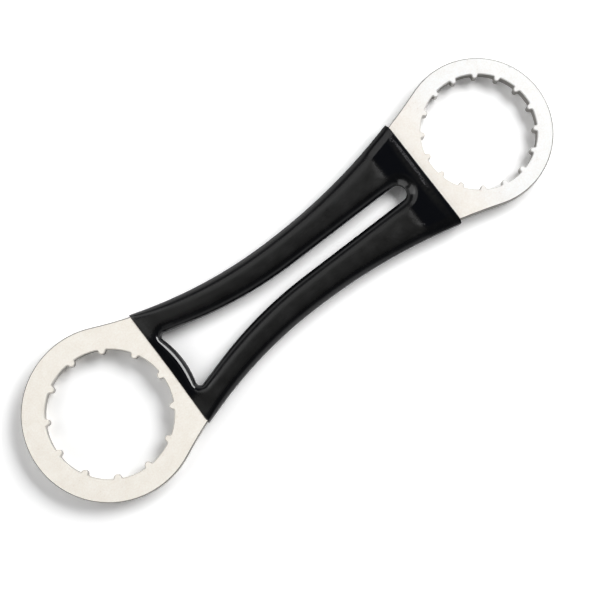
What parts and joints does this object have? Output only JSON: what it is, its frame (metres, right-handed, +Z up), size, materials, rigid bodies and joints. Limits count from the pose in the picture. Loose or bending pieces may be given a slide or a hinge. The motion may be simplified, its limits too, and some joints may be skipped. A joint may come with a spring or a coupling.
{
  "type": "bottom bracket tool",
  "caption": "Flat steel spanner with a notched ring at each end and a dipped vinyl grip round its two-bar handle, for turning bottom bracket cups.",
  "frame": {"origin": "centre of the tool's outline box, on the surface that it lies on", "axes": "+X along the tool from the big ring to the small ring, +Y across it, +Z up out of its flat face"},
  "size_m": [0.2362, 0.066, 0.0083],
  "materials": {
    "plate": "satin nickel plate with a faint fine mottle",
    "grip": "dipped black vinyl, satin on the bars and glossier on the pressed web"
  },
  "bodies": {
    "root": {"steel_plate": "plate", "vinyl_grip": "grip"}
  },
  "joints": []
}
